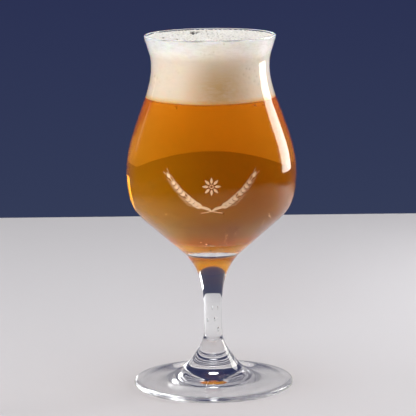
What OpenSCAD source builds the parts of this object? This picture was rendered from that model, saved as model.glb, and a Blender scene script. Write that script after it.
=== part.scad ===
// Tulip beer glass on a stem, with the beer and the head of foam that it holds.
// Millimetres. The origin is on the table under the middle of the foot, and +Z points up along the axis.
// Every outline runs through stations. A station has a radius, a height, the lean of the outline there
// (degrees from the axis, positive where it opens outward going up) and the lengths over which the outline
// holds that lean below and above the station.

/* [Foot] */
// Diameter of the foot
foot_diameter = 84.8; // [74:0.1:100]
// Thickness of the foot's round edge
foot_edge = 2.6; // [2:0.1:4]
// Slope of the foot's top at its edge
foot_slope = 8; // [3:0.5:12]
// Length over which the foot's top holds that slope
foot_slope_hold = 22.5; // [12:0.5:25]
// Width of the flat ring that the foot rests on
rest_width = 2; // [1.5:0.5:12]
// Height of the hollow under the middle of the foot
kick = 3.4; // [0.5:0.1:4]
// Height of the foot up to its seam with the stem
foot_height = 24; // [21:0.5:28]
// Diameter of the foot's dome where its side is straight
dome_diameter = 26.2; // [23:0.1:29]
// Height of that place
dome_height = 11.9; // [10.5:0.1:13.5]
// Lean of the dome's side, inward going up
dome_lean = 38.7; // [34:0.1:43]
// Length over which the dome's side is straight below that place
dome_hold_below = 5.2; // [2:0.1:6]
// Length over which the dome's side is straight above that place
dome_hold_above = 6.5; // [3:0.1:8]

/* [Stem] */
// Diameter of the seam between foot and stem
lower_seam_diameter = 11.4; // [10.5:0.1:13]
// Lean of the outline at that seam, inward going up
lower_seam_lean = 19; // [8:1:25]
// Length over which the foot holds the lean of that seam
lower_seam_hold_below = 4; // [2:0.5:6]
// Length over which the stem holds the lean of that seam
lower_seam_hold_above = 3.5; // [2:0.5:7]
// Diameter of the narrowest place of the stem
neck_diameter = 9.5; // [7:0.1:10.5]
// Height of the narrowest place above the lower seam
neck_rise = 14; // [10:0.5:20]
// Length over which the stem stays upright below its narrowest place
neck_hold_below = 3; // [1:0.5:6]
// Length over which the stem stays upright above its narrowest place
neck_hold_above = 21; // [10:0.5:23]
// Length of the stem from seam to seam
stem_length = 46.3; // [40:0.1:60]
// Diameter of the seam between stem and bowl
upper_seam_diameter = 27.6; // [23:0.1:30]
// Lean of the stem at that seam
upper_seam_lean = 37; // [25:1:42]
// Length over which the stem holds the lean of that seam
upper_seam_hold_below = 8; // [5:0.1:12]

/* [Bowl] */
// Height of the bowl from its seam with the stem to the top of the lip
bowl_height = 116.7; // [108:0.1:130]
// Lean of the bowl at that seam, where the fused joint leaves a crease
bowl_seam_lean = 47; // [40:1:50]
// Length over which the bowl holds the lean of that seam
bowl_seam_hold = 6; // [3:0.1:8]
// Diameter of the straight flank under the belly
flank_diameter = 58.4; // [52:0.1:64]
// Height of that flank above the seam
flank_rise = 13.7; // [12:0.1:17]
// Lean of the flank
flank_lean = 48; // [44:1:52]
// Length over which the flank is straight below that place
flank_hold_below = 10; // [5:0.1:12]
// Length over which the flank is straight above that place
flank_hold_above = 13.2; // [6:0.1:16]
// Largest diameter of the belly
belly_diameter = 89.4; // [84:0.1:98]
// Height of the largest diameter above the seam
belly_rise = 44.7; // [41:0.1:49]
// Length over which the belly stays upright below its largest diameter
belly_hold_below = 19.4; // [12:0.1:21]
// Length over which the belly stays upright above its largest diameter
belly_hold_above = 20.8; // [14:0.1:26]
// Diameter of the waist under the lip
waist_diameter = 61.9; // [56:0.1:70]
// Distance from the top of the lip down to the waist
waist_drop = 16.4; // [12:0.1:22]
// Length over which the waist stays upright below its narrowest place
waist_hold_below = 16.5; // [8:0.1:20]
// Length over which the waist stays upright above its narrowest place
waist_hold_above = 6.8; // [3:0.1:8]
// Diameter of the outside at the lip
lip_diameter = 68.8; // [64:0.1:76]
// Lean of the wall at the lip
lip_lean = 14; // [8:1:22]
// Length over which the wall holds that lean under the lip
lip_hold = 8.6; // [4:0.1:9]
// Thickness of the wall at the lip, which is rounded over
lip_wall = 1.4; // [1:0.1:2.4]
// Thickness of the wall at the flank
flank_wall = 2.4; // [1.4:0.1:3.6]
// Thickness of the glass under the lowest point of the hollow
base_wall = 4.3; // [2:0.1:5.5]
// Length over which the hollow's bottom stays level
hollow_level = 12.5; // [6:0.5:14]
// Length over which the hollow follows the flank above its bottom
hollow_flank_hold = 13.5; // [8:0.5:15]

/* [Drink] */
// Depth of the beer over the lowest point of the hollow
beer_depth = 79.6; // [60:0.1:86]
// Distance from the top of the lip down to the foam's edge
foam_gap = 0.9; // [0.9:0.1:12]
// Height of the foam's crown over its edge
foam_crown = 0.8; // [0.2:0.1:0.8]

/* [Hidden] */
$fn = 96;
curve_steps = 14;
arc_steps = 8;
glass_tint = [0.88, 0.92, 0.93, 0.35];
beer_tint = [0.82, 0.47, 0.04, 0.8];
foam_tint = [0.96, 0.93, 0.88];

// Heights above the table
upper_seam_height = foot_height + stem_length;
lip_top = upper_seam_height + bowl_height;
lip_height = lip_top - lip_wall / 2 * (1 + sin(lip_lean));
hollow_bottom = upper_seam_height + base_wall;
beer_level = hollow_bottom + beer_depth;
foam_edge = lip_top - foam_gap;

// Stations from the table up to the lip
edge_radius = foot_edge / 2;
edge_centre = foot_diameter / 2 - edge_radius;
foot_shoulder = [
    edge_centre + edge_radius * sin(foot_slope),
    edge_radius + edge_radius * cos(foot_slope),
    foot_slope - 90,
    0,
    foot_slope_hold
];
dome = [dome_diameter / 2, dome_height, -dome_lean, dome_hold_below, dome_hold_above];
lower_seam = [
    lower_seam_diameter / 2,
    foot_height,
    -lower_seam_lean,
    lower_seam_hold_below,
    lower_seam_hold_above
];
neck = [neck_diameter / 2, foot_height + neck_rise, 0, neck_hold_below, neck_hold_above];
upper_seam = [upper_seam_diameter / 2, upper_seam_height, upper_seam_lean, upper_seam_hold_below, 0];
bowl_seam = [upper_seam_diameter / 2, upper_seam_height, bowl_seam_lean, 0, bowl_seam_hold];
flank = [
    flank_diameter / 2,
    upper_seam_height + flank_rise,
    flank_lean,
    flank_hold_below,
    flank_hold_above
];
belly = [belly_diameter / 2, upper_seam_height + belly_rise, 0, belly_hold_below, belly_hold_above];
waist = [waist_diameter / 2, lip_top - waist_drop, 0, waist_hold_below, waist_hold_above];
lip = [lip_diameter / 2, lip_height, lip_lean, lip_hold, 0];

// Points along an outline
function place(station) = [station[0], station[1]];
function heading(lean) = [sin(lean), cos(lean)];
function handles(low, high) = [
    place(low),
    place(low) + low[4] * heading(low[2]),
    place(high) - high[3] * heading(high[2]),
    place(high)
];
function curve_point(h, t) =
    pow(1 - t, 3) * h[0] + 3 * pow(1 - t, 2) * t * h[1] + 3 * (1 - t) * t * t * h[2] + pow(t, 3) * h[3];
function curve_heading(h, t) = let(
    slope = pow(1 - t, 2) * (h[1] - h[0]) + 2 * (1 - t) * t * (h[2] - h[1]) + t * t * (h[3] - h[2])
) slope / norm(slope);
function outline(stations) = [
    for (s = [0 : len(stations) - 2])
        for (i = [s == 0 ? 0 : 1 : curve_steps])
            curve_point(handles(stations[s], stations[s + 1]), i / curve_steps)
];
function reversed(points) = [for (i = [len(points) - 1 : -1 : 0]) points[i]];

// The wall thins evenly from the flank to the lip, and the hollow follows the outside at that distance
function wall_at(height) = flank_wall + (lip_wall - flank_wall) * (height - flank[1]) / (lip[1] - flank[1]);
function inside_of(point, ahead) = point + wall_at(point.y) * [-ahead.y, ahead.x];
function inside_outline(stations) = [
    for (s = [0 : len(stations) - 2])
        for (i = [1 : curve_steps])
            let(h = handles(stations[s], stations[s + 1]), t = i / curve_steps)
                inside_of(curve_point(h, t), curve_heading(h, t))
];
hollow_floor = [0, hollow_bottom, 90, 0, hollow_level];
hollow_flank_place = inside_of(place(flank), heading(flank_lean));
hollow_flank = [hollow_flank_place.x, hollow_flank_place.y, flank_lean, hollow_flank_hold, 0];
hollow = concat(outline([hollow_floor, hollow_flank]), inside_outline([flank, belly, waist, lip]));

// The lip is a half round from the outside of the wall over to the inside
lip_middle = (place(lip) + hollow[len(hollow) - 1]) / 2;
lip_round = [
    for (i = [1 : arc_steps - 1])
        let(turn = 180 * i / arc_steps - lip_lean)
            lip_middle + lip_wall / 2 * [cos(turn), sin(turn)]
];

// What fills the hollow takes its side from the hollow's own outline
function hollow_radius(height) = lookup(height, [for (p = hollow) [p.y, p.x]]);
function hollow_between(low, high) = concat(
    [[hollow_radius(low), low]],
    [for (p = hollow) if (p.y > low && p.y < high) p],
    [[hollow_radius(high), high]]
);

// Pressed foot: a hollow underneath, a flat ring to rest on, a round edge and a dome up to the stem
module foot() {
    rest_inner = edge_centre - rest_width;
    underside = [
        for (i = [0 : arc_steps])
            let(share = i / arc_steps)
                [rest_inner * share, kick * (1 - share * share)]
    ];
    edge = [
        for (i = [0 : arc_steps - 1])
            let(turn = (180 - foot_slope) * i / arc_steps - 90)
                [edge_centre + edge_radius * cos(turn), edge_radius + edge_radius * sin(turn)]
    ];
    color(glass_tint)
        rotate_extrude()
            polygon(concat(underside, edge, outline([foot_shoulder, dome, lower_seam]), [[0, foot_height]]));
}

// Drawn stem: solid, narrowest below the middle, with a trumpet at the top
module stem() {
    color(glass_tint)
        rotate_extrude()
            polygon(concat(
                [[0, foot_height]],
                outline([lower_seam, neck, upper_seam]),
                [[0, upper_seam_height]]
            ));
}

// Blown bowl: flank, belly, waist and lip outside, and a hollow with a round bottom over a solid button
module bowl() {
    color(glass_tint)
        rotate_extrude()
            polygon(concat(
                [[0, upper_seam_height]],
                outline([bowl_seam, flank, belly, waist, lip]),
                lip_round,
                reversed(hollow)
            ));
}

// Beer from the bottom of the hollow up to its level
module beer() {
    color(beer_tint)
        rotate_extrude()
            polygon(concat(hollow_between(hollow_bottom, beer_level), [[0, beer_level]]));
}

// Head of foam from the beer's level up to its crown under the lip
module foam_head() {
    edge = hollow_radius(foam_edge);
    crown = [
        for (i = [1 : arc_steps])
            let(share = 1 - i / arc_steps)
                [edge * share, foam_edge + foam_crown * (1 - share * share)]
    ];
    color(foam_tint)
        rotate_extrude()
            polygon(concat([[0, beer_level]], hollow_between(beer_level, foam_edge), crown));
}

foot();
stem();
bowl();
beer();
foam_head();
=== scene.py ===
"""Looks of the tulip beer glass: its glass, beer, foam and frosted ornament, and the photograph's studio.

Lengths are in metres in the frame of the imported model: +Z is the axis of the glass and -Y faces the camera.
"""
import math
import random

import bmesh
import bpy
import numpy as np
from mathutils import Matrix, Vector, noise


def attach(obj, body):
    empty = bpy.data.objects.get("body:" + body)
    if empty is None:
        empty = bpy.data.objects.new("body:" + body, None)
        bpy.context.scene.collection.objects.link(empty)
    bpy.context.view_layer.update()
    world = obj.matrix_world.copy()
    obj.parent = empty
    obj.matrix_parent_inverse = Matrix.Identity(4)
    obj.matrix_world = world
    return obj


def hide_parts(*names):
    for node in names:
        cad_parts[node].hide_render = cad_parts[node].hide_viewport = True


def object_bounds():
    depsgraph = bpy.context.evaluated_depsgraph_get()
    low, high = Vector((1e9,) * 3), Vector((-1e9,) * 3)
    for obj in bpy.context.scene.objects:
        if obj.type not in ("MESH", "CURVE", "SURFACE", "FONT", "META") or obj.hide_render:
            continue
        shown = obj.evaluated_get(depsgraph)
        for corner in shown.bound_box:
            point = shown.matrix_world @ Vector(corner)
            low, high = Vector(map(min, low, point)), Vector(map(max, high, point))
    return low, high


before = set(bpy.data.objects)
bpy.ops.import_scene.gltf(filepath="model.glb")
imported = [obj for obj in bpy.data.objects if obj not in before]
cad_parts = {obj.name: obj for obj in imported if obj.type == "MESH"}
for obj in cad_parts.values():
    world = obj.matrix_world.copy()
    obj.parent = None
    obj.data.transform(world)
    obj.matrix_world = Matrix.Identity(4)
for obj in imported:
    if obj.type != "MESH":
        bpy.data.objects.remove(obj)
cad_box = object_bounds()

MM = 0.001
TINY = 0.001 * MM
BOUNCES = 96
CLEAR_BOUNCES = 32
WHITE = (1.0, 1.0, 1.0, 1.0)
BLACK = (0.0, 0.0, 0.0, 1.0)
rng = random.Random(20)

# Turned surfaces
GLASS_TURNS = 160
CURVE_STEPS = 4
MIRRORED_POINTS = 3
STRAIGHT = math.radians(0.03)
CREASE = math.radians(3.0)
CREASE_RATIO = 2.5
SHARP_EDGE = math.radians(50.0)

# Glass
GLASS_IOR = 1.5
WALL_MIDDLE = 0.5 * MM
BUBBLE_DIVISIONS = 2
# Place, half width and half length of each seed in millimetres
STEM_SEEDS = (
    (-0.2, -0.5, 41.4, 0.22, 1.1),
    (1.8, -0.5, 41.4, 0.20, 1.0),
    (0.7, -1.0, 35.3, 0.38, 1.1),
    (2.2, -1.5, 29.8, 0.50, 1.3),
    (-2.2, -1.0, 34.8, 0.40, 0.9),
)

# Frosted ornament, in a plane that is wrapped round the belly
ORNAMENT_HEIGHT = 112.0 * MM
ORNAMENT_DEPTH = 0.03 * MM
ORNAMENT_THICKNESS = 0.05 * MM
ORNAMENT_STEPS = 9
# Ends and bend of an ear's stalk in millimetres, and leans and bends in radians
EAR_START = (-5.5, -12.0)
EAR_CONTROL = (10.0, -10.0)
EAR_END = (22.0, 6.0)
STALK_STEPS = 28
STALK_WIDTH = 0.42 * MM
GRAIN_PAIRS = 9
GRAIN_FIRST = 10
GRAIN_LENGTH = 3.6 * MM
GRAIN_WIDTH = 1.35 * MM
GRAIN_LEAN = 0.62
GRAIN_BEND = 0.45
GRAIN_TAPER = 0.05
AWN_LENGTH = 4.6 * MM
AWN_WIDTH = 0.20 * MM
AWN_LEAN = 0.30
AWN_BEND = 0.18
TIP_LENGTH = 3.4 * MM
TIP_WIDTH = 1.1 * MM
LEAF_AT = 5
LEAF_LENGTH = 8.5 * MM
LEAF_WIDTH = 1.5 * MM
LEAF_POINT = 0.12 * MM
LEAF_LEAN = 0.95
LEAF_BEND = 0.75
# Middle of the flower in millimetres
FLOWER_PLACE = (0.0, 2.0)
PETALS = 8
PETAL_START = 1.5 * MM
PETAL_LENGTH = 3.3 * MM
PETAL_WIDTH = 1.35 * MM
RING_STEPS = 24
RING_RADIUS = 0.9 * MM
RING_WIDTH = 0.40 * MM

# Beer
BEER_IOR = 1.32
BEER_OVERLAP = 0.10 * MM
BUBBLE_INSET = 0.8 * MM
BUBBLE_LOWEST = 0.01
BUBBLE_HIGHEST = 0.985
BUBBLE_TURN_SPREAD = 4
# Share of the height, turn, count, spread, and least and largest radius in millimetres of each group
BEER_BUBBLES = (
    (0.075, -0.07, 4, 0.006, 0.40, 0.70),
    (0.03, -0.05, 3, 0.006, 0.30, 0.50),
    (0.27, 0.85, 3, 0.005, 0.40, 0.70),
    (0.22, 0.75, 8, 0.020, 0.20, 0.40),
    (0.25, -0.40, 9, 0.045, 0.25, 0.50),
    (0.28, 0.15, 10, 0.050, 0.25, 0.50),
    (0.22, -0.80, 6, 0.020, 0.20, 0.40),
    (0.975, 0.75, 16, 0.006, 0.20, 0.40),
    (0.975, 0.95, 10, 0.006, 0.20, 0.40),
    (0.975, -0.55, 9, 0.006, 0.20, 0.40),
)
# Share of the height, turn, and radius in millimetres of each bubble
WALL_BUBBLES = (
    (0.083, -0.13, 0.50),
    (0.070, -0.04, 0.30),
    (0.098, -0.24, 0.25),
    (0.062, -0.16, 0.22),
    (0.270, 0.86, 0.48),
    (0.258, 0.91, 0.28),
    (0.285, 0.83, 0.26),
    (0.240, 0.80, 0.22),
    (0.215, 0.84, 0.24),
    (0.160, 0.42, 0.24),
    (0.300, -0.62, 0.22),
)
HAZE_INSET = 1.0 * MM
HAZE_DROP = 0.03 * MM
HAZE_SPAN = (0.075, 0.155)
YEAST_INSET = 0.5 * MM
YEAST_DEPTH = 7.0 * MM
YEAST_FADE = 3.5 * MM
YEAST_ALPHA = 0.8

# Foam
FOAM_GRID = 240
FOAM_OVERLAP = 0.05 * MM
FOAM_DIP = 0.15 * MM
FOAM_FRINGE = 0.25 * MM
FOAM_FRINGE_SCALE = 38
FOAM_CLEARANCE = 0.06 * MM
FOAM_CROWN = 0.35 * MM
FOAM_LUMP = 0.12 * MM
FOAM_LUMP_SCALE = 160
FOAM_KNOB_SCALE = 420
FOAM_KNOB_SHARE = 0.5
FOAM_CLIMB = 0.1 * MM
FOAM_CLIMB_START = 0.875
FOAM_GAP = 0.16 * MM
# Painted shade on the foam's front, where little light falls: its middle, reach and strongest share
FOAM_PAINTED_SHADE_MIDDLE = (0.005, -0.031, 0.1608)
FOAM_PAINTED_SHADE_REACH = 0.025
FOAM_PAINTED_SHADE_SHARE = 0.82
# Bubbles of the foam's top, with radii in millimetres
FOAM_BUBBLES = 2600
FOAM_BUBBLE_LEAST = 0.30
FOAM_BUBBLE_MORE = 1.15
FOAM_BUBBLE_POWER = 3.2
FOAM_BUBBLE_TRIES = 14
FOAM_BUBBLE_PACKING = 0.82
FOAM_BUBBLE_SUNK = 0.55
# Place across, place of the far wall, half width, length and depth of each pit in millimetres
FOAM_PITS = (
    (-8.9, 21.5, 1.8, 18.0, 2.6),
    (-6.5, 23.5, 1.2, 14.0, 1.9),
    (-24.3, -6.0, 0.9, 6.0, 0.8),
    (-1.9, 27.5, 1.0, 8.0, 0.9),
    (-17.0, -16.0, 1.2, 6.0, 0.7),
)
FOAM_PIT_WALL = 0.5
FOAM_PIT_BARE = 0.4
FOAM_PIT_SHADE = 3
FOAM_PIT_SHADE_SHIFT = 0.5
FOAM_WOBBLE_SCALE = 500
FOAM_WOBBLE_ACROSS = 0.4
FOAM_WOBBLE_WALL = 0.5

# Camera, as fitted to the photograph
IMAGE_PIXELS = 416
FOCAL_PIXELS = 2193.7
SENSOR_WIDTH = 36.0
CAMERA_PLACE = (0.0, -1.1405, 0.3003)
CAMERA_PITCH = math.radians(-10.2)
CAMERA_YAW = math.radians(0.1)
CAMERA_ROLL = math.radians(-0.65)

# Table, whose back corners are cut off
FLOOR_DROP = 0.05 * MM
FLOOR_FRONT = -0.9
FLOOR_FRONT_REACH = 1.6
FLOOR_SIDE = 0.1
FLOOR_SIDE_REACH = 0.52
FLOOR_BACK = 0.496
FLOOR_BACK_REACH = 0.335
FLOOR_COLOUR = (0.645, 0.633, 0.665, 1.0)
# Painted light: in reflections the table in front of the glass is brighter and yellower, up to a span towards
# the back.
FLOOR_MIRRORED_PAINTED_LIGHT = (0.72, 0.72, 0.58, 1.0)
FLOOR_PAINTED_LIGHT_BACK = (0.055, 0.070)
FLOOR_FADE_MIDDLE = (0.16, 0.0, 0.0)
FLOOR_FADE = (0.30, 0.54)
FLOOR_UNLIT = (0.004, 0.004, 0.005, 1.0)

# Wall, room and lamps, with spans of the direction in which the room is seen
WALL_LOW = (0.034, 0.045, 0.098, 1.0)
WALL_HIGH = (0.024, 0.031, 0.087, 1.0)
WALL_RISE = (-0.18, -0.07)
WALL_BEHIND = (0.45, 0.85)
UPPER_ROOM = (0.82, 0.79, 0.79, 1.0)
UPPER_ROOM_RISE = (0.05, 0.20)
UPPER_ROOM_BEHIND = (0.75, 0.9)
DARK_ROOM = (0.003, 0.003, 0.004, 1.0)
AMBIENT = (0.12, 0.12, 0.12, 1.0)
KEY_AIM = (0.0, 0.0, 0.14)


# Shader nodes


def new_node(tree, kind, **values):
    """A node whose named sockets are set; _ stands for a space in a socket's name."""
    node = tree.nodes.new(kind)
    for name, value in values.items():
        node.inputs[name.replace("_", " ")].default_value = value
    return node


def new_material(name):
    """An empty material with its output node."""
    material = bpy.data.materials.new(name)
    material.use_nodes = True
    material.node_tree.nodes.clear()
    output = material.node_tree.nodes.new("ShaderNodeOutputMaterial")
    return material, material.node_tree, output


def object_noise(tree, scale, detail=2.0):
    """Noise that is fixed to the piece."""
    place = tree.nodes.new("ShaderNodeTexCoord")
    texture = new_node(tree, "ShaderNodeTexNoise", Scale=scale, Detail=detail)
    tree.links.new(place.outputs["Object"], texture.inputs["Vector"])
    return texture.outputs["Fac"]


def object_distance(tree, middle):
    """The distance from a middle, fixed to the piece."""
    place = tree.nodes.new("ShaderNodeTexCoord")
    node = tree.nodes.new("ShaderNodeVectorMath")
    node.operation = "DISTANCE"
    node.inputs[1].default_value = middle
    tree.links.new(place.outputs["Object"], node.inputs[0])
    return node.outputs["Value"]


def axis_of(tree, coordinate, axis):
    """One axis of a texture coordinate."""
    place = tree.nodes.new("ShaderNodeTexCoord")
    parts = tree.nodes.new("ShaderNodeSeparateXYZ")
    tree.links.new(place.outputs[coordinate], parts.inputs["Vector"])
    return parts.outputs[axis]


def ray_is(tree, kind):
    """Whether a ray is of a kind, as 0 or 1."""
    return tree.nodes.new("ShaderNodeLightPath").outputs[kind]


def ranged(tree, source, span, values=(0.0, 1.0), curve="LINEAR"):
    """The source over a span, mapped to a range of values."""
    node = tree.nodes.new("ShaderNodeMapRange")
    node.interpolation_type = curve
    for name, value in zip(("From Min", "From Max", "To Min", "To Max"), (*span, *values)):
        node.inputs[name].default_value = value
    tree.links.new(source, node.inputs["Value"])
    return node.outputs["Result"]


def combined(tree, operation, first, second):
    """Two values put together by a math operation."""
    node = tree.nodes.new("ShaderNodeMath")
    node.operation = operation
    tree.links.new(first, node.inputs[0])
    tree.links.new(second, node.inputs[1])
    return node.outputs["Value"]


def colour_ramp(tree, source, *stops):
    """Colours along the source, each stop with its position and colour."""
    node = tree.nodes.new("ShaderNodeValToRGB")
    elements = node.color_ramp.elements
    for element, (position, colour) in ((elements[0], stops[0]), (elements[1], stops[-1])):
        element.position = position
        element.color = colour
    for position, colour in stops[1:-1]:
        elements.new(position).color = colour
    tree.links.new(source, node.inputs["Fac"])
    return node.outputs["Color"]


def mixed_colour(tree, share, first, second):
    """The first colour, changed to a second fixed one by a share."""
    node = new_node(tree, "ShaderNodeMixRGB", Color2=second)
    tree.links.new(share, node.inputs["Fac"])
    tree.links.new(first, node.inputs["Color1"])
    return node.outputs["Color"]


def mixed_shader(tree, share, first, second):
    """The first shader, changed to the second by a share."""
    node = tree.nodes.new("ShaderNodeMixShader")
    tree.links.new(share, node.inputs["Fac"])
    tree.links.new(first, node.inputs[1])
    tree.links.new(second, node.inputs[2])
    return node.outputs["Shader"]


def add_bump(tree, shader, source, strength, distance):
    """Gives a shader the bumps of a source."""
    bump = new_node(tree, "ShaderNodeBump", Strength=strength, Distance=distance)
    tree.links.new(source, bump.inputs["Height"])
    tree.links.new(bump.outputs["Normal"], shader.inputs["Normal"])


def lamps_through(tree, surface, tint):
    """The surface, except that lamp light passes it with the tint, as it does through clear glass."""
    clear = new_node(tree, "ShaderNodeBsdfTransparent", Color=tint)
    return mixed_shader(tree, ray_is(tree, "Is Shadow Ray"), surface, clear.outputs["BSDF"])


def wetted_shader(tree, ior):
    """A clear body whose face between glass and beer reflects only at a glancing angle."""
    return new_node(
        tree,
        "ShaderNodeBsdfPrincipled",
        Base_Color=WHITE,
        Roughness=0.0,
        Transmission_Weight=1.0,
        Specular_Tint=BLACK,
        IOR=ior,
    )


def glass_material():
    """Clear blown glass with a faint unevenness and the slight bloom of a washed surface."""
    material, tree, output = new_material("clear_glass")
    shader = new_node(
        tree,
        "ShaderNodeBsdfPrincipled",
        Base_Color=(0.985, 0.995, 0.995, 1.0),
        Transmission_Weight=1.0,
        # Painted reflection colour: the warm tint stands in for the beer-lit table that the glass reflects.
        Specular_Tint=(1.0, 0.96, 0.80, 1.0),
        IOR=GLASS_IOR,
    )
    bloom = object_noise(tree, scale=55.0)
    tree.links.new(ranged(tree, bloom, (0.45, 0.8), (0.0, 0.02)), shader.inputs["Roughness"])
    waves = object_noise(tree, scale=38.0, detail=1.0)
    add_bump(tree, shader, waves, strength=0.004, distance=0.002)
    surface = lamps_through(tree, shader.outputs["BSDF"], (0.975, 0.98, 0.98, 1.0))
    tree.links.new(surface, output.inputs["Surface"])
    return material


def seam_material():
    """The fused faces inside the glass, which can't be seen."""
    material, tree, output = new_material("fused_seam")
    clear = new_node(tree, "ShaderNodeBsdfTransparent", Color=WHITE)
    tree.links.new(clear.outputs["BSDF"], output.inputs["Surface"])
    return material


def wet_material():
    """The inside of the glass where beer wets it."""
    material, tree, output = new_material("wetted_glass")
    shader = wetted_shader(tree, GLASS_IOR)
    surface = lamps_through(tree, shader.outputs["BSDF"], WHITE)
    tree.links.new(surface, output.inputs["Surface"])
    return material


def beer_material():
    """Pale beer: clear amber that deepens with its depth."""
    material, tree, output = new_material("pale_beer")
    shader = wetted_shader(tree, BEER_IOR)
    surface = lamps_through(tree, shader.outputs["BSDF"], (0.97, 0.96, 0.93, 1.0))
    depth = new_node(tree, "ShaderNodeVolumeAbsorption", Color=(0.965, 0.705, 0.0, 1.0), Density=60.0)
    tree.links.new(surface, output.inputs["Surface"])
    tree.links.new(depth.outputs["Volume"], output.inputs["Volume"])
    return material


def haze_material():
    """The bloom of yeast just inside the beer, thin enough to see through, with a painted glow that brightens
    it towards the foam.
    """
    material, tree, output = new_material("beer_haze")
    shader = new_node(tree, "ShaderNodeBsdfPrincipled", Roughness=0.9, Specular_IOR_Level=0.0, Alpha=0.31)
    height = ranged(tree, axis_of(tree, "Object", "Z"), HAZE_SPAN)
    drift = object_noise(tree, scale=60.0, detail=3.0)
    # Painted light: the colour is brighter and redder near the top, a painted glow from the foam above; lower
    # down it changes with height.
    colour = colour_ramp(
        tree,
        combined(tree, "ADD", height, ranged(tree, drift, (0.3, 0.7), (-0.05, 0.05))),
        (0.15, (0.70, 0.40, 0.004, 1.0)),
        (0.40, (0.65, 0.295, 0.004, 1.0)),
        (0.72, (0.65, 0.26, 0.004, 1.0)),
        (0.98, (0.97, 0.305, 0.002, 1.0)),
    )
    tree.links.new(colour, shader.inputs["Base Color"])
    tree.links.new(shader.outputs["BSDF"], output.inputs["Surface"])
    return material


def yeast_material(top):
    """Yeast that has settled, paler and thicker than the haze, and thinner upwards to its top."""
    material, tree, output = new_material("settled_yeast")
    shader = new_node(tree, "ShaderNodeBsdfPrincipled", Roughness=0.9, Specular_IOR_Level=0.0)
    colour = colour_ramp(
        tree,
        object_noise(tree, scale=250.0, detail=3.0),
        (0.35, (0.95, 0.40, 0.02, 1.0)),
        (0.65, (0.98, 0.46, 0.04, 1.0)),
    )
    tree.links.new(colour, shader.inputs["Base Color"])
    height = axis_of(tree, "Object", "Z")
    thinning = ranged(tree, height, (top - YEAST_FADE, top - HAZE_DROP), (YEAST_ALPHA, 0.0))
    tree.links.new(thinning, shader.inputs["Alpha"])
    tree.links.new(shader.outputs["BSDF"], output.inputs["Surface"])
    return material


def foam_material(low, high):
    """Close white foam with fine bubbles that show against the glass, and painted light and shade:
    beer-coloured where it meets the beer, beige and darker up its side and in a patch on its front, white at
    the top.
    """
    material, tree, output = new_material("beer_foam_head")
    shader = new_node(
        tree,
        "ShaderNodeBsdfPrincipled",
        Roughness=0.55,
        Subsurface_Weight=1.0,
        Subsurface_Radius=(1.0, 0.62, 0.38),
        Subsurface_Scale=0.008,
    )
    # Painted light and shade by height: beer-coloured at the beer, darker beige up the side from shade and
    # the beer's amber light, white near the top where light falls from above.
    cream_and_painted_shade = colour_ramp(
        tree,
        ranged(tree, axis_of(tree, "Object", "Z"), (low, high)),
        (0.0, (0.92, 0.50, 0.14, 1.0)),
        (0.08, (0.79, 0.68, 0.555, 1.0)),
        (0.68, (0.825, 0.76, 0.68, 1.0)),
        (0.80, (1.0, 0.965, 0.935, 1.0)),
        (1.0, (1.0, 0.975, 0.95, 1.0)),
    )
    # Painted shade: the foam turns darker and browner round a middle on its front, where little light falls.
    away = object_distance(tree, FOAM_PAINTED_SHADE_MIDDLE)
    painted_shade_share = ranged(tree, away, (0.0, FOAM_PAINTED_SHADE_REACH), (FOAM_PAINTED_SHADE_SHARE, 0.0), curve="SMOOTHSTEP")
    cream_with_painted_shade = mixed_colour(tree, painted_shade_share, cream_and_painted_shade, (0.51, 0.32, 0.12, 1.0))
    place = tree.nodes.new("ShaderNodeTexCoord")
    cells = new_node(tree, "ShaderNodeTexVoronoi", Scale=420.0)
    tree.links.new(place.outputs["Object"], cells.inputs["Vector"])
    specks = ranged(tree, cells.outputs["Distance"], (0.0, 0.34), (1.0, 0.0))
    patches = ranged(tree, object_noise(tree, scale=70.0, detail=3.0), (0.50, 0.66), (0.0, 0.8))
    speckle = combined(tree, "MULTIPLY", specks, patches)
    mottled = mixed_colour(tree, speckle, cream_with_painted_shade, (0.50, 0.41, 0.31, 1.0))
    flat = new_node(tree, "ShaderNodeMapping", Scale=(1.0, 1.0, 3.5))
    tree.links.new(place.outputs["Object"], flat.inputs["Vector"])
    streaks = new_node(tree, "ShaderNodeTexNoise", Scale=220.0, Detail=5.0, Roughness=0.75)
    tree.links.new(flat.outputs["Vector"], streaks.inputs["Vector"])
    grain = ranged(tree, streaks.outputs["Fac"], (0.30, 0.56), (0.40, 0.0))
    grained = mixed_colour(tree, grain, mottled, (0.69, 0.63, 0.56, 1.0))
    tree.links.new(grained, shader.inputs["Base Color"])
    add_bump(tree, shader, cells.outputs["Distance"], strength=0.25, distance=0.0004)
    tree.links.new(shader.outputs["BSDF"], output.inputs["Surface"])
    return material


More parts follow.
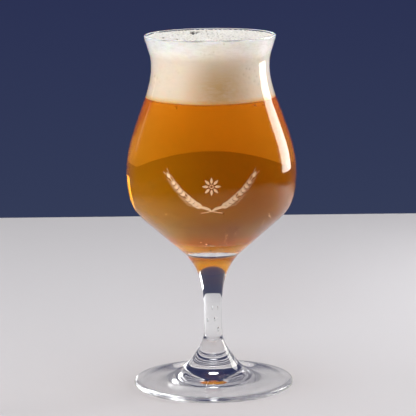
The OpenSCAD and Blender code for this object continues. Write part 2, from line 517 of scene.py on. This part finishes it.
def froth_material():
    """The open top of the foam: white bubbles, with painted shade that greys the gaps between them in
    patches, and painted dark shade in the pits that large bubbles left.
    """
    material, tree, output = new_material("foam_froth")
    shader = new_node(
        tree,
        "ShaderNodeBsdfPrincipled",
        Roughness=0.5,
        Subsurface_Weight=0.4,
        Subsurface_Radius=(1.0, 0.8, 0.6),
        Subsurface_Scale=0.0008,
    )
    white = colour_ramp(
        tree,
        object_noise(tree, scale=900.0, detail=3.0),
        (0.35, (0.82, 0.80, 0.77, 1.0)),
        (0.55, (0.94, 0.925, 0.90, 1.0)),
    )
    # Painted shade: the gaps between bubbles are greyer, in patches.
    gap = tree.nodes.new("ShaderNodeAttribute")
    gap.attribute_name = "gap"
    patches = ranged(tree, object_noise(tree, scale=110.0, detail=3.0), (0.40, 0.62), (0.1, 0.9))
    painted_shade_share = combined(tree, "MULTIPLY", gap.outputs["Fac"], patches)
    white_and_gap_shade = mixed_colour(tree, painted_shade_share, white, (0.36, 0.345, 0.335, 1.0))
    # Painted shade: the pits that large bubbles left are painted nearly black inside.
    pit = tree.nodes.new("ShaderNodeAttribute")
    pit.attribute_name = "pit"
    pit_painted_shade = mixed_colour(tree, pit.outputs["Fac"], white_and_gap_shade, (0.030, 0.030, 0.038, 1.0))
    tree.links.new(pit_painted_shade, shader.inputs["Base Color"])
    tree.links.new(shader.outputs["BSDF"], output.inputs["Surface"])
    return material


def frosted_material():
    """Glass roughened by sandblasting, pale over the beer; its warm beige is the beer's amber light painted
    into its colour.
    """
    material, tree, output = new_material("frosted_glass")
    # Painted light: the beige stands in for the beer's amber light through the frost.
    shader = new_node(
        tree,
        "ShaderNodeBsdfPrincipled",
        Base_Color=(0.76, 0.60, 0.45, 1.0),
        Roughness=0.7,
        Alpha=0.6,
    )
    add_bump(tree, shader, object_noise(tree, scale=2500.0), strength=0.3, distance=0.0001)
    tree.links.new(shader.outputs["BSDF"], output.inputs["Surface"])
    return material


def floor_material():
    """Plain pale table, which is dark in reflections away from the glass, as the unlit room would be, and
    shows a painted pool of beer-yellow light in reflections in front of the glass.
    """
    material, tree, output = new_material("pale_table")
    shader = new_node(tree, "ShaderNodeBsdfPrincipled", Roughness=0.6)
    unlit = new_node(tree, "ShaderNodeEmission", Color=FLOOR_UNLIT, Strength=1.0)
    mirrored = combined(
        tree,
        "GREATER_THAN",
        ray_is(tree, "Is Glossy Ray"),
        ray_is(tree, "Is Transmission Ray"),
    )
    # Painted light: reflections of the table in front of the glass get a brighter, yellower colour.
    in_front = ranged(tree, axis_of(tree, "Object", "Y"), FLOOR_PAINTED_LIGHT_BACK, (1.0, 0.0))
    colour = new_node(tree, "ShaderNodeMixRGB", Color1=FLOOR_COLOUR, Color2=FLOOR_MIRRORED_PAINTED_LIGHT)
    tree.links.new(combined(tree, "MULTIPLY", in_front, mirrored), colour.inputs["Fac"])
    tree.links.new(colour.outputs["Color"], shader.inputs["Base Color"])
    away = object_distance(tree, FLOOR_FADE_MIDDLE)
    fade = ranged(tree, away, FLOOR_FADE)
    share = combined(tree, "MULTIPLY", fade, mirrored)
    surface = mixed_shader(tree, share, shader.outputs["BSDF"], unlit.outputs["Emission"])
    tree.links.new(surface, output.inputs["Surface"])
    return material


# Turned meshes


def section(node):
    """Radius and height along the section of a turned CAD node, from its lower open end to the other."""
    mesh = bmesh.new()
    mesh.from_mesh(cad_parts[node].data)
    bmesh.ops.remove_doubles(mesh, verts=mesh.verts, dist=TINY)
    on_plane = {v for v in mesh.verts if abs(v.co.y) < 2 * TINY and v.co.x > -TINY}
    beside = {v: [] for v in on_plane}
    for edge in mesh.edges:
        a, b = edge.verts
        if a in on_plane and b in on_plane:
            beside[a].append(b)
            beside[b].append(a)
    ends = [v for v in on_plane if len(beside[v]) == 1]
    here = min(ends, key=lambda v: v.co.z)
    chain = [here]
    while True:
        onward = [v for v in beside[here] if len(chain) < 2 or v is not chain[-2]]
        if not onward:
            break
        here = onward[0]
        chain.append(here)
    points = [Vector((max(v.co.x, 0.0), v.co.z)) for v in chain]
    mesh.free()
    turns = turns_along(points)
    corners = [p for p, turn in zip(points[1:-1], turns[1:-1]) if turn > STRAIGHT]
    return [tuple(p) for p in [points[0]] + corners + [points[-1]]]


def turns_along(points):
    """The angle by which a line of points turns at each of them, with none at its ends."""
    steps = [b - a for a, b in zip(points, points[1:])]
    return [0.0] + [a.angle(b) for a, b in zip(steps, steps[1:])] + [0.0]


def spline(points):
    """A curve of even bend through the points, with CURVE_STEPS steps from each to the next."""
    places = np.array(points)
    gaps = np.linalg.norm(np.diff(places, axis=0), axis=1)[:, None]
    slopes = np.diff(places, axis=0) / gaps
    count = len(places)
    matrix = np.eye(count)
    pull = np.zeros((count, 2))
    for i in range(1, count - 1):
        matrix[i, i - 1 : i + 2] = gaps[i - 1, 0], 2 * (gaps[i - 1, 0] + gaps[i, 0]), gaps[i, 0]
        pull[i] = 6 * (slopes[i] - slopes[i - 1])
    bend = np.linalg.solve(matrix, pull)
    curve = [places[0]]
    for i in range(count - 1):
        for step in range(1, CURVE_STEPS + 1):
            b = step / CURVE_STEPS
            a = 1 - b
            sway = (a**3 - a) * bend[i] + (b**3 - b) * bend[i + 1]
            curve.append(a * places[i] + b * places[i + 1] + sway * gaps[i] ** 2 / 6)
    return curve


def smoothed(points):
    """A spline through the points of a section, which keeps its creases and runs level across the axis."""
    turns = turns_along([Vector(p) for p in points])
    breaks = [0]
    for i in range(2, len(points) - 2):
        if turns[i] > CREASE and turns[i] > CREASE_RATIO * max(turns[i - 1], turns[i + 1]):
            breaks.append(i)
    breaks.append(len(points) - 1)
    curve = [points[0]]
    for first, last in zip(breaks, breaks[1:]):
        curve += smoothed_run(points[first : last + 1])[1:]
    return curve


def smoothed_run(points):
    """A spline through points without a crease, mirrored past the axis where an end lies on it."""
    pad = MIRRORED_POINTS
    before = [(-r, z) for r, z in points[pad:0:-1]] if points[0][0] < TINY else []
    after = [(-r, z) for r, z in points[-2 : -2 - pad : -1]] if points[-1][0] < TINY else []
    curve = spline(before + list(points) + after)
    first = len(before) * CURVE_STEPS
    last = len(curve) - len(after) * CURVE_STEPS
    return [(max(r, 0.0), max(z, 0.0)) for r, z in curve[first:last]]


def moved_out(curve, distance):
    """The curve moved to its right-hand side, which is outward on the way up."""
    places = [Vector(p) for p in curve]
    moved = []
    for i, place in enumerate(places):
        ahead = places[min(i + 1, len(places) - 1)] - places[max(i - 1, 0)]
        ahead.normalize()
        shift = Vector((ahead.y, -ahead.x)) * distance
        if place.x < TINY:
            shift.x = 0.0
        moved.append(tuple(place + shift))
    return moved


def add_turned(mesh, curve, turns):
    """Adds the curve turned about the axis to a bmesh; returns its first and last ring."""
    rings = []
    for radius, height in curve:
        if radius < TINY:
            rings.append([mesh.verts.new((0.0, 0.0, height))])
            continue
        angles = [2 * math.pi * i / turns for i in range(turns)]
        rings.append([mesh.verts.new((radius * math.cos(a), radius * math.sin(a), height)) for a in angles])
    for low, high in zip(rings, rings[1:]):
        for i in range(turns):
            j = (i + 1) % turns
            corners = [low[i % len(low)], low[j % len(low)], high[j % len(high)], high[i % len(high)]]
            mesh.faces.new(list(dict.fromkeys(corners)))
    return rings[0], rings[-1]


def new_piece(name, mesh, materials, nodes=()):
    """A shown piece from a bmesh, riding on the model, with smooth faces."""
    data = bpy.data.meshes.new(name)
    mesh.to_mesh(data)
    mesh.free()
    for material in materials:
        data.materials.append(material)
    data.shade_smooth()
    data.set_sharp_from_angle(angle=SHARP_EDGE)
    piece = bpy.data.objects.new(name, data)
    bpy.context.scene.collection.objects.link(piece)
    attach(piece, "root")
    if nodes:
        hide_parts(*nodes)
    return piece


# Glass

glass = glass_material()
seam = seam_material()
wet = wet_material()

foot_points = section("foot")
stem_points = section("stem")
bowl_points = section("bowl")
stand_curve = smoothed(foot_points + stem_points[1:])
lower_seam_height = foot_points[-1][1]
foot_curve = [p for p in stand_curve if p[1] <= lower_seam_height + TINY]
stem_curve = [p for p in stand_curve if p[1] >= lower_seam_height - TINY]
bowl_curve = smoothed(bowl_points)
hollow_curve = smoothed(section("beer"))
hollow_heights = [p[1] for p in hollow_curve]
hollow_radii = [p[0] for p in hollow_curve]


def sphere_template(divisions):
    """Corners and triangles of a round bubble of radius 1."""
    mesh = bmesh.new()
    bmesh.ops.create_icosphere(mesh, subdivisions=divisions, radius=1.0)
    mesh.verts.index_update()
    corners = [v.co.copy() for v in mesh.verts]
    faces = [[v.index for v in f.verts] for f in mesh.faces]
    mesh.free()
    return corners, faces


def add_bubble(mesh, template, centre, radius, stretch=1.0):
    """Adds a bubble to a bmesh as a hollow in the piece, with its faces turned inward."""
    corners, faces = template
    verts = [mesh.verts.new(Vector(centre) + radius * Vector((c.x, c.y, stretch * c.z))) for c in corners]
    for face in faces:
        mesh.faces.new([verts[i] for i in reversed(face)])


def is_wet(place):
    """Whether a place on the glass is on the inside, where beer wets it."""
    if not hollow_heights[0] - WALL_MIDDLE < place.z < hollow_heights[-1]:
        return False
    return math.hypot(place.x, place.y) < np.interp(place.z, hollow_heights, hollow_radii) + WALL_MIDDLE


def make_glass(name, curve, seeds=()):
    """A closed glass piece; its fused faces and the inside that beer wets have materials of their own.

    Seeds are small drawn-out bubbles in the glass: place, half width and half length in millimetres.
    """
    mesh = bmesh.new()
    rings = add_turned(mesh, curve, GLASS_TURNS)
    for face in mesh.faces:
        if is_wet(face.calc_center_median()):
            face.material_index = 2
    for ring in rings:
        if len(ring) > 1:
            mesh.faces.new(ring).material_index = 1
    for x, y, z, half_width, half_length in seeds:
        add_bubble(mesh, bubble, Vector((x, y, z)) * MM, half_width * MM, half_length / half_width)
    return new_piece(name, mesh, [glass, seam, wet], [name])


bubble = sphere_template(BUBBLE_DIVISIONS)
make_glass("foot", foot_curve)
make_glass("stem", stem_curve, STEM_SEEDS)
make_glass("bowl", bowl_curve)

# Ornament

frosted = frosted_material()
outside_curve = [p for p in bowl_curve if p[0] > np.interp(p[1], hollow_heights, hollow_radii) + WALL_MIDDLE]
outside_heights = [p[1] for p in outside_curve]
outside_radii = [p[0] for p in outside_curve]


def wrapped(across, up, depth):
    """The place on the front of the belly for a point of the ornament's plane, below the surface by depth."""
    height = ORNAMENT_HEIGHT + up
    surface = float(np.interp(height, outside_heights, outside_radii))
    turn = across / surface
    radius = surface - depth
    return (radius * math.sin(turn), -radius * math.cos(turn), height)


def add_stroke(mesh, line, widths):
    """Adds a closed flat stroke along a line of the ornament's plane, with a width at each of its points."""
    rings = []
    for i, place in enumerate(line):
        ahead = line[min(i + 1, len(line) - 1)] - line[max(i - 1, 0)]
        ahead.normalize()
        side = Vector((-ahead.y, ahead.x)) * widths[i] / 2
        corners = [
            (place + side, ORNAMENT_DEPTH),
            (place - side, ORNAMENT_DEPTH),
            (place - side, ORNAMENT_DEPTH + ORNAMENT_THICKNESS),
            (place + side, ORNAMENT_DEPTH + ORNAMENT_THICKNESS),
        ]
        rings.append([mesh.verts.new(wrapped(p.x, p.y, depth)) for p, depth in corners])
    for low, high in zip(rings, rings[1:]):
        for i in range(4):
            j = (i + 1) % 4
            mesh.faces.new([low[i], low[j], high[j], high[i]])
    mesh.faces.new(rings[0])
    mesh.faces.new(rings[-1])


def leaf_line(start, heading, length, bend):
    """Points from start along a heading that turns by bend over the length."""
    line = [Vector(start)]
    for step in range(ORNAMENT_STEPS):
        turn = heading + bend * (step + 0.5) / ORNAMENT_STEPS
        line.append(line[-1] + Vector((math.cos(turn), math.sin(turn))) * length / ORNAMENT_STEPS)
    return line


def leaf_widths(width):
    """Widths along a leaf or grain, fullest before the middle and pointed at both ends."""
    shares = [step / ORNAMENT_STEPS for step in range(ORNAMENT_STEPS + 1)]
    return [max(LEAF_POINT, width * math.sin(math.pi * s**0.8) ** 0.9) for s in shares]


def add_ear(mesh, side):
    """Adds an ear of barley that leans to one side: its stalk, its pairs of grains with awns, and a leaf."""
    start, control, end = (Vector((x * side, y)) * MM for x, y in (EAR_START, EAR_CONTROL, EAR_END))
    stalk = []
    for step in range(STALK_STEPS + 1):
        t = step / STALK_STEPS
        stalk.append((1 - t) ** 2 * start + 2 * t * (1 - t) * control + t * t * end)
    add_stroke(mesh, stalk, [STALK_WIDTH] * len(stalk))
    for pair in range(GRAIN_PAIRS):
        at = GRAIN_FIRST + pair * (STALK_STEPS - GRAIN_FIRST) // (GRAIN_PAIRS - 1)
        ahead = stalk[min(at + 1, STALK_STEPS)] - stalk[at - 1]
        heading = math.atan2(ahead.y, ahead.x)
        size = 1.0 - GRAIN_TAPER * pair
        for lean in (-1, 1):
            grain = leaf_line(stalk[at], heading + lean * GRAIN_LEAN, GRAIN_LENGTH * size, -lean * GRAIN_BEND)
            add_stroke(mesh, grain, leaf_widths(GRAIN_WIDTH * size))
            awn = leaf_line(grain[-1], heading + lean * AWN_LEAN, AWN_LENGTH * size, -lean * AWN_BEND)
            add_stroke(mesh, awn, [AWN_WIDTH] * len(awn))
    tip = leaf_line(stalk[-1], heading, TIP_LENGTH, 0.0)
    add_stroke(mesh, tip, leaf_widths(TIP_WIDTH))
    leaf = leaf_line(stalk[LEAF_AT], math.pi / 2 - side * LEAF_LEAN, LEAF_LENGTH, -side * LEAF_BEND)
    add_stroke(mesh, leaf, leaf_widths(LEAF_WIDTH))


def add_flower(mesh, middle):
    """Adds a small flower of petals round an open ring."""
    for petal in range(PETALS):
        heading = 2 * math.pi * petal / PETALS
        start = middle + Vector((math.cos(heading), math.sin(heading))) * PETAL_START
        add_stroke(mesh, leaf_line(start, heading, PETAL_LENGTH, 0.0), leaf_widths(PETAL_WIDTH))
    ring = []
    for step in range(RING_STEPS + 1):
        turn = 2 * math.pi * step / RING_STEPS
        ring.append(middle + Vector((math.cos(turn), math.sin(turn))) * RING_RADIUS)
    add_stroke(mesh, ring, [RING_WIDTH] * len(ring))


def make_ornament():
    """Two ears of barley and a flower, frosted into the front of the belly."""
    mesh = bmesh.new()
    add_ear(mesh, -1)
    add_ear(mesh, 1)
    add_flower(mesh, Vector(FLOWER_PLACE) * MM)
    bmesh.ops.recalc_face_normals(mesh, faces=mesh.faces)
    piece = new_piece("frosted_ornament", mesh, [frosted])
    piece.visible_shadow = False
    return piece


make_ornament()

# Beer


def turned_place(curve, share, turn, inset):
    """A place inside a turned surface, at a share of its height."""
    heights = [p[1] for p in curve]
    height = heights[0] + share * (heights[-1] - heights[0])
    radius = float(np.interp(height, heights, [p[0] for p in curve])) - inset
    return (radius * math.sin(turn), -radius * math.cos(turn), height)


def make_beer():
    """The beer, which reaches just into the glass, with the bubbles that rise in it."""
    mesh = bmesh.new()
    curve = moved_out(hollow_curve, BEER_OVERLAP)
    rings = add_turned(mesh, curve, GLASS_TURNS)
    mesh.faces.new(rings[-1])
    bmesh.ops.recalc_face_normals(mesh, faces=mesh.faces)
    for middle, middle_turn, count, spread, small, large in BEER_BUBBLES:
        for _ in range(count):
            share = min(max(middle + rng.gauss(0.0, spread), BUBBLE_LOWEST), BUBBLE_HIGHEST)
            turn = middle_turn + rng.gauss(0.0, BUBBLE_TURN_SPREAD * spread)
            place = turned_place(curve, share, turn, BUBBLE_INSET)
            add_bubble(mesh, bubble, place, rng.uniform(small, large) * MM)
    return new_piece("beer", mesh, [beer_material()], ["beer"])


def make_layer(name, inset, top, material):
    """A closed layer inside the beer, at a distance from the glass and up to a height."""
    mesh = bmesh.new()
    curve = [p for p in moved_out(hollow_curve, -inset) if p[1] < top]
    rings = add_turned(mesh, curve, GLASS_TURNS)
    mesh.faces.new(rings[-1])
    bmesh.ops.recalc_face_normals(mesh, faces=mesh.faces)
    return new_piece(name, mesh, [material])


def make_wall_bubbles():
    """Bubbles that cling to the glass and catch the light."""
    mesh = bmesh.new()
    for share, turn, radius in WALL_BUBBLES:
        add_bubble(mesh, bubble, turned_place(hollow_curve, share, turn, radius * MM), radius * MM)
    bmesh.ops.recalc_face_normals(mesh, faces=mesh.faces)
    return new_piece("wall_bubbles", mesh, [froth])


froth = froth_material()
yeast_top = hollow_heights[0] + YEAST_DEPTH
make_beer()
make_wall_bubbles()
make_layer("beer_haze", HAZE_INSET, hollow_heights[-1] - HAZE_DROP, haze_material())
make_layer("beer_yeast", YEAST_INSET, yeast_top, yeast_material(yeast_top))

# Foam

foam_points = section("foam_head")
foam_turns = turns_along([Vector(p) for p in foam_points])
foam_side = smoothed(foam_points[: foam_turns.index(max(foam_turns)) + 1])


def packed_bubbles(reach):
    """Places and radii of bubbles that lie side by side on a disc, large ones first."""
    draws = [rng.random() ** FOAM_BUBBLE_POWER for _ in range(FOAM_BUBBLES)]
    kept = []
    for draw in sorted(draws, reverse=True):
        size = (FOAM_BUBBLE_LEAST + FOAM_BUBBLE_MORE * draw) * MM
        for _ in range(FOAM_BUBBLE_TRIES):
            turn = rng.uniform(0.0, 2 * math.pi)
            away = (reach - size) * math.sqrt(rng.random())
            place = (away * math.cos(turn), away * math.sin(turn))
            if all(math.dist(place, p) > FOAM_BUBBLE_PACKING * (size + s) for p, s in kept):
                kept.append((place, size))
                break
    return kept


def disc_place(across, up):
    """A point of the square from -1 to 1 moved to the disc of radius 1, with rings of squares as rings."""
    if across == 0.0 and up == 0.0:
        return (0.0, 0.0)
    if abs(across) > abs(up):
        radius, turn = across, math.pi / 4 * up / across
    else:
        radius, turn = up, math.pi / 2 - math.pi / 4 * across / up
    return (radius * math.cos(turn), radius * math.sin(turn))


def noise_at(places, scale, level):
    """Smooth noise at places of the foam's top."""
    return np.array([noise.noise((x * scale, y * scale, level)) for x, y in places])


def pits_at(spots, wobble):
    """Depths in millimetres of the pits at places of the foam's top, and the darkness of the shade painted in
    them.
    """
    depths = np.zeros(len(spots))
    shade = np.zeros(len(spots))
    for x, wall, half_width, length, depth in FOAM_PITS:
        aside = (spots[:, 0] / MM - x + FOAM_WOBBLE_ACROSS * wobble) / half_width
        beyond = spots[:, 1] / MM - wall + FOAM_WOBBLE_WALL * wobble
        across = np.clip(1 - aside**2, 0.0, 1.0) ** 0.5 * np.clip(1 - beyond / FOAM_PIT_WALL, 0.0, 1.0)
        depths = np.maximum(depths, depth * across * np.clip(1 + beyond / length, 0.0, 1.0))
        away = np.hypot(aside, beyond / half_width + FOAM_PIT_SHADE_SHIFT)
        shade = np.maximum(shade, np.clip(FOAM_PIT_SHADE - FOAM_PIT_SHADE * away, 0.0, 1.0))
    return depths, shade


def foam_top(places, edge_height, reach):
    """Heights of the foam's top, and how much each place is a gap between bubbles and how dark the shade
    painted in a pit is there.

    It is a low crown with soft lumps, domes of bubbles, pits that large bubbles left, and an edge that
    climbs the glass.
    """
    spots = np.array(places)
    shares = (spots**2).sum(axis=1) / reach**2
    knobs = noise_at(places, FOAM_KNOB_SCALE, 3.0)
    lumps = noise_at(places, FOAM_LUMP_SCALE, 0.0) + FOAM_KNOB_SHARE * knobs
    rise = np.zeros(len(places))
    for (x, y), size in packed_bubbles(reach):
        near = (spots[:, 0] - x) ** 2 + (spots[:, 1] - y) ** 2
        under = near < size**2
        dome = np.sqrt(size**2 - near[under]) - FOAM_BUBBLE_SUNK * size
        rise[under] = np.maximum(rise[under], dome)
    pits, shade = pits_at(spots, noise_at(places, FOAM_WOBBLE_SCALE, 7.0))
    gaps = np.clip(1 - rise / FOAM_GAP, 0.0, 1.0)
    climb = FOAM_CLIMB * np.clip((shares - FOAM_CLIMB_START) / (1 - FOAM_CLIMB_START), 0.0, 1.0) ** 2
    heights = edge_height + (FOAM_CROWN + FOAM_LUMP * lumps) * (1 - shares) + climb
    heights += rise * np.clip(1 - pits / FOAM_PIT_BARE, 0.0, 1.0) - pits * MM
    return heights, gaps, shade


def make_foam():
    """The head of foam: its side against the glass, a fringe at the beer, and a top of packed bubbles."""
    mesh = bmesh.new()
    # Per-corner shares of painted shade: in the gaps between bubbles and in the pits.
    for layer in ("gap", "pit"):
        mesh.verts.layers.float.new(layer)
    turns = 4 * FOAM_GRID
    curve = moved_out(foam_side, FOAM_OVERLAP)
    rings = []
    for radius, height in [(curve[0][0], curve[0][1] - FOAM_DIP)] + curve:
        ring = []
        for i in range(turns):
            x, y = ring_direction(i)
            drop = 0.0
            if not rings:
                drop = FOAM_FRINGE * noise.noise((x * FOAM_FRINGE_SCALE, y * FOAM_FRINGE_SCALE, 1.0))
            ring.append(mesh.verts.new((radius * x, radius * y, height + drop)))
        rings.append(ring)
    for low, high in zip(rings, rings[1:]):
        for i in range(turns):
            j = (i + 1) % turns
            mesh.faces.new([low[i], low[j], high[j], high[i]])
    mesh.faces.new(rings[0])
    add_foam_top(mesh, rings[-1], curve[-1])
    bmesh.ops.recalc_face_normals(mesh, faces=mesh.faces)
    materials = [foam_material(foam_side[0][1], foam_side[-1][1]), froth]
    return new_piece("foam_head", mesh, materials, ["foam_head"])


def grid_edge(index):
    """The column and row of a corner on the grid's edge, counted anticlockwise from the lower right."""
    side, along = divmod(index, FOAM_GRID)
    last = FOAM_GRID
    return ((last, along), (last - along, last), (0, last - along), (along, 0))[side]


def ring_direction(index):
    """The direction from the axis of a corner on the grid's edge."""
    column, row = grid_edge(index)
    return disc_place(2 * column / FOAM_GRID - 1, 2 * row / FOAM_GRID - 1)


def add_foam_top(mesh, rim, rim_place):
    """Adds the top as a square grid wrapped to a disc, whose edge is the rim ring."""
    reach, edge_height = rim_place
    count = FOAM_GRID + 1
    places = []
    for row in range(count):
        for column in range(count):
            x, y = disc_place(2 * column / FOAM_GRID - 1, 2 * row / FOAM_GRID - 1)
            places.append((x * reach, y * reach))
    highest = cad_box[1][2] - FOAM_CLEARANCE
    # The third value is the darkness of the shade painted in the pits.
    heights, gaps, pits = foam_top(places, edge_height, reach)
    heights = np.minimum(heights, highest)
    gap_layer = mesh.verts.layers.float["gap"]
    pit_layer = mesh.verts.layers.float["pit"]
    on_edge = {grid_edge(i): corner for i, corner in enumerate(rim)}
    grid = {}
    for row in range(count):
        for column in range(count):
            spot = (column, row)
            index = row * count + column
            x, y = places[index]
            corner = on_edge.get(spot) or mesh.verts.new((x, y, 0.0))
            corner.co.z = heights[index]
            corner[gap_layer] = gaps[index]
            corner[pit_layer] = pits[index]
            grid[spot] = corner
    for row in range(FOAM_GRID):
        for column in range(FOAM_GRID):
            corners = [(column, row), (column + 1, row), (column + 1, row + 1), (column, row + 1)]
            mesh.faces.new([grid[c] for c in corners]).material_index = 1


make_foam()

# Camera


def make_camera():
    """The camera of the photograph."""
    data = bpy.data.cameras.new("camera")
    data.sensor_width = SENSOR_WIDTH
    data.lens = SENSOR_WIDTH * FOCAL_PIXELS / IMAGE_PIXELS
    camera = bpy.data.objects.new("camera", data)
    turn = Matrix.Rotation(CAMERA_YAW, 4, "Z")
    tilt = Matrix.Rotation(math.pi / 2 + CAMERA_PITCH, 4, "X")
    roll = Matrix.Rotation(CAMERA_ROLL, 4, "Z")
    camera.matrix_world = Matrix.Translation(CAMERA_PLACE) @ turn @ tilt @ roll
    bpy.context.scene.collection.objects.link(camera)
    bpy.context.scene.camera = camera


make_camera()

# Table, wall and lamps


def make_floor():
    """The table that the glass stands on, as a stage."""
    mesh = bmesh.new()
    right = [
        (FLOOR_FRONT_REACH, FLOOR_FRONT),
        (FLOOR_SIDE_REACH, FLOOR_SIDE),
        (FLOOR_BACK_REACH, FLOOR_BACK),
    ]
    left = [(-x, y) for x, y in reversed(right)]
    mesh.faces.new([mesh.verts.new((x, y, -FLOOR_DROP)) for x, y in right + left])
    data = bpy.data.meshes.new("table")
    mesh.to_mesh(data)
    mesh.free()
    data.materials.append(floor_material())
    table = bpy.data.objects.new("table", data)
    bpy.context.scene.collection.objects.link(table)


def make_world():
    """A plain dark wall to the eye and through glass, an unlit room before it, and soft light on all else."""
    world = bpy.data.worlds.new("studio")
    bpy.context.scene.world = world
    world.use_nodes = True
    tree = world.node_tree
    tree.nodes.clear()
    output = tree.nodes.new("ShaderNodeOutputWorld")
    up = axis_of(tree, "Generated", "Z")
    back = axis_of(tree, "Generated", "Y")
    wall_share = ranged(tree, up, WALL_RISE)
    wall_node = new_node(tree, "ShaderNodeBackground", Strength=1.0)
    wall_colour = colour_ramp(tree, wall_share, (0.0, WALL_LOW), (1.0, WALL_HIGH))
    tree.links.new(wall_colour, wall_node.inputs["Color"])
    wall = wall_node.outputs["Background"]
    dark, ambient, upper = (
        new_node(tree, "ShaderNodeBackground", Color=colour, Strength=1.0).outputs["Background"]
        for colour in (DARK_ROOM, AMBIENT, UPPER_ROOM)
    )
    upper_share = combined(
        tree,
        "MULTIPLY",
        ranged(tree, up, UPPER_ROOM_RISE),
        ranged(tree, back, UPPER_ROOM_BEHIND),
    )
    behind = mixed_shader(tree, upper_share, wall, upper)
    mirrored = mixed_shader(tree, ranged(tree, back, WALL_BEHIND), dark, behind)
    unseen = mixed_shader(tree, ray_is(tree, "Is Glossy Ray"), ambient, mirrored)
    seen = combined(tree, "MAXIMUM", ray_is(tree, "Is Camera Ray"), ray_is(tree, "Is Transmission Ray"))
    tree.links.new(mixed_shader(tree, seen, unseen, wall), output.inputs["Surface"])


def make_lamp(name, place, aim, size, power, shown=True, colour=WHITE[:3], spread=180.0, shape="RECTANGLE"):
    """A soft box that faces a point, with its spread in degrees.

    The camera doesn't see it, and it shows in the glass only where shown says so.
    """
    data = bpy.data.lights.new(name, "AREA")
    data.shape = shape
    data.size, data.size_y = size
    data.energy = power
    data.color = colour
    data.spread = math.radians(spread)
    lamp = bpy.data.objects.new(name, data)
    lamp.location = place
    lamp.rotation_euler = (Vector(aim) - Vector(place)).to_track_quat("-Z", "Y").to_euler()
    lamp.visible_camera = False
    lamp.visible_glossy = shown
    lamp.visible_transmission = shown
    bpy.context.scene.collection.objects.link(lamp)


make_floor()
make_world()
make_lamp("overhead", place=(0.0, -0.2, 2.6), aim=(0.0, 0.0, 0.0), size=(2.0, 2.0), power=26.0, shown=False)
make_lamp("right_strip", place=(0.476, 0.275, 0.284), aim=(0.0, 0.0, 0.284), size=(0.24, 0.452), power=2.3)
make_lamp("left_strip", place=(-0.63, 0.50, 0.31), aim=(0.0, 0.0, 0.18), size=(0.05, 0.30), power=0.028)
make_lamp("left_key", place=(-1.0, 0.0, 0.45), aim=KEY_AIM, size=(0.5, 0.6), power=6.6, shown=False)
make_lamp("right_key", place=(1.0, 0.0, 0.45), aim=KEY_AIM, size=(0.4, 0.5), power=1.5, shown=False)
make_lamp(
    "front_fill",
    place=(-0.2, -1.3, 0.6),
    aim=(0.0, 0.0, 0.12),
    size=(0.5, 0.5),
    power=9.4,
    shown=False,
    colour=(1.0, 0.92, 0.82),
)
make_lamp(
    "table_bounce",
    place=(0.0, 0.045, 0.008),
    aim=(0.0, 0.0, 0.076),
    size=(0.03, 0.01),
    power=0.0020,
    shown=False,
    colour=(1.0, 0.93, 0.80),
    spread=45.0,
)
make_lamp(
    "left_bounce",
    place=(-0.16, -0.05, 0.01),
    aim=(-0.03, 0.0, 0.088),
    size=(0.10, 0.10),
    power=0.034,
    shown=False,
    colour=(1.0, 1.0, 0.85),
    spread=36.0,
)
make_lamp(
    "foot_glint",
    place=(0.0, 0.15, 0.078),
    aim=(0.0, 0.0, -0.002),
    size=(0.034, 0.028),
    power=0.0006,
    spread=11.0,
    shape="ELLIPSE",
)

scene = bpy.context.scene
scene.view_settings.view_transform = "Standard"
scene.cycles.max_bounces = BOUNCES
scene.cycles.transmission_bounces = BOUNCES
scene.cycles.glossy_bounces = BOUNCES
scene.cycles.transparent_max_bounces = CLEAR_BOUNCES
